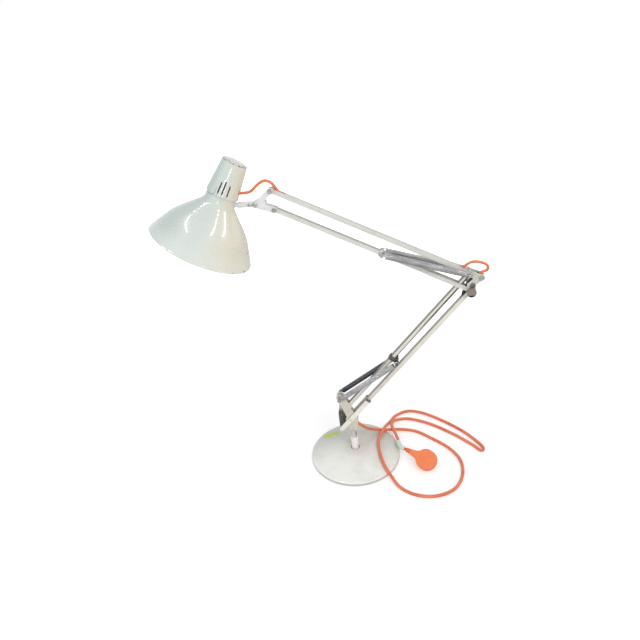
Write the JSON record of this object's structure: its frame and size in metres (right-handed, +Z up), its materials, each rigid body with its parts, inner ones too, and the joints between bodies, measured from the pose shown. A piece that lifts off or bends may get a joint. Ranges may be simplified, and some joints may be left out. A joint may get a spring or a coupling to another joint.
{
  "type": "architect lamp",
  "caption": "Spring-balanced double-parallelogram desk lamp with a round weighted base, a spun bell shade on a tilting strap, and a mains cord with a round plug.",
  "frame": {"origin": "centre of the round base's underside, on the table", "axes": "+Z up along the swivel spigot; the arms lie in the XZ plane, with the elbow towards +X and the shade towards -X"},
  "size_m": [0.6481, 0.2898, 0.697],
  "materials": {
    "enamel": "worn gloss enamel, pale green-grey",
    "arm_enamel": "worn beige-white enamel",
    "plate_enamel": "worn beige enamel",
    "cast_iron": "bare casting",
    "felt": "pressed felt",
    "steel": "dull zinc-plated steel",
    "dark_steel": "blackened steel",
    "polished_steel": "polished",
    "bush_nylon": "off-white nylon",
    "tape": "yellow-green adhesive tape",
    "rubber": "moulded",
    "cord_orange": "orange PVC sheath",
    "sleeve": "pale translucent sleeve",
    "plug_orange": "moulded orange plastic",
    "knob_bakelite": "worn brown-black moulding",
    "holder_black": "black bakelite",
    "brass": "bare"
  },
  "bodies": {
    "base": {"base_shell": "enamel", "base_weight": "cast_iron", "base_pad": "felt", "socket_tube": "steel", "swivel_bush": "bush_nylon", "tape_patch": "tape"},
    "swivel": {"spigot": "polished_steel", "bracket_near_plate": "plate_enamel", "bracket_far_plate": "plate_enamel", "pivot_pins": "steel", "spring_anchor": "steel", "cord_grommet": "rubber", "floor_cord": "cord_orange", "cord_sleeve": "sleeve", "plug_body": "plug_orange", "plug_pins": "polished_steel", "lower_spring_near": "steel", "lower_spring_far": "dark_steel"},
    "lower_main": {"lower_main_tube": "arm_enamel", "foot_channel": "plate_enamel", "foot_rivets": "dark_steel"},
    "lower_link": {"lower_link_tube": "arm_enamel", "lower_spring_clip": "dark_steel"},
    "elbow": {"elbow_near_plate": "plate_enamel", "elbow_far_plate": "plate_enamel", "elbow_bolts": "steel", "elbow_nuts": "steel", "elbow_rivets": "dark_steel", "upper_spring_near": "steel", "upper_spring_far": "steel", "elbow_cable": "cord_orange"},
    "knob": {"elbow_knob": "knob_bakelite"},
    "upper_main": {"upper_bottom_tube": "arm_enamel", "upper_spring_clip": "dark_steel"},
    "upper_link": {"upper_top_tube": "arm_enamel"},
    "head_bracket": {"head_near_plate": "arm_enamel", "head_far_plate": "arm_enamel", "head_bolts": "steel", "head_nuts": "steel", "head_cable": "cord_orange"},
    "head_arm": {"head_strap": "arm_enamel", "stud_nut": "steel", "strap_screw": "steel"},
    "shade": {"shade_bell": "enamel", "neck_housing": "enamel", "top_cap": "enamel", "lampholder": "holder_black", "holder_bracket": "steel", "lamp_contact": "brass"}
  },
  "joints": [
    {"name": "swivel", "type": "hinge", "parent": "base", "child": "swivel", "pos_m": [0, 0, 0.05], "axis": [0, 0, 1], "range_deg": [-170, 170]},
    {"name": "lower_arm", "type": "hinge", "parent": "swivel", "child": "lower_main", "pos_m": [-0.0055, 0, 0.1064], "axis": [0, 1, 0], "range_deg": [-22, 18], "deforming": ["lower_spring_near", "lower_spring_far"]},
    {"name": "lower_link", "type": "hinge", "parent": "swivel", "child": "lower_link", "pos_m": [-0.0085, 0, 0.1419], "axis": [0, 1, 0], "range_deg": [-22, 18]},
    {"name": "elbow", "type": "hinge", "parent": "lower_main", "child": "elbow", "pos_m": [0.24569, 0, 0.4177], "axis": [0, 1, 0], "range_deg": [-18, 22]},
    {"name": "knob_turn", "type": "hinge", "parent": "elbow", "child": "knob", "pos_m": [0.24569, 0, 0.4177], "axis": [0, 1, 0], "continuous": true},
    {"name": "upper_arm", "type": "hinge", "parent": "elbow", "child": "upper_main", "pos_m": [0.24569, 0, 0.4177], "axis": [0, 1, 0], "range_deg": [-24, 30], "deforming": ["upper_spring_near", "upper_spring_far", "elbow_cable"]},
    {"name": "upper_link", "type": "hinge", "parent": "elbow", "child": "upper_link", "pos_m": [0.24269, 0, 0.4532], "axis": [0, 1, 0], "range_deg": [-24, 30]},
    {"name": "head_level", "type": "hinge", "parent": "upper_link", "child": "head_bracket", "pos_m": [-0.11529, 0, 0.63168], "axis": [0, 1, 0], "range_deg": [-30, 24]},
    {"name": "head_tilt", "type": "hinge", "parent": "head_bracket", "child": "head_arm", "pos_m": [-0.14789, 0, 0.60808], "axis": [0, 1, 0], "range_deg": [-40, 45], "deforming": ["head_cable"]},
    {"name": "head_roll", "type": "hinge", "parent": "head_arm", "child": "shade", "pos_m": [-0.19689, 0, 0.60808], "axis": [1, 0, 0], "range_deg": [-52.5, 67.5]}
  ],
  "couplings": [
    {"joint": "lower_link", "follows": "lower_arm", "ratio": 1},
    {"joint": "elbow", "follows": "lower_arm", "ratio": -1},
    {"joint": "upper_link", "follows": "upper_arm", "ratio": 1},
    {"joint": "head_level", "follows": "upper_arm", "ratio": -1}
  ]
}
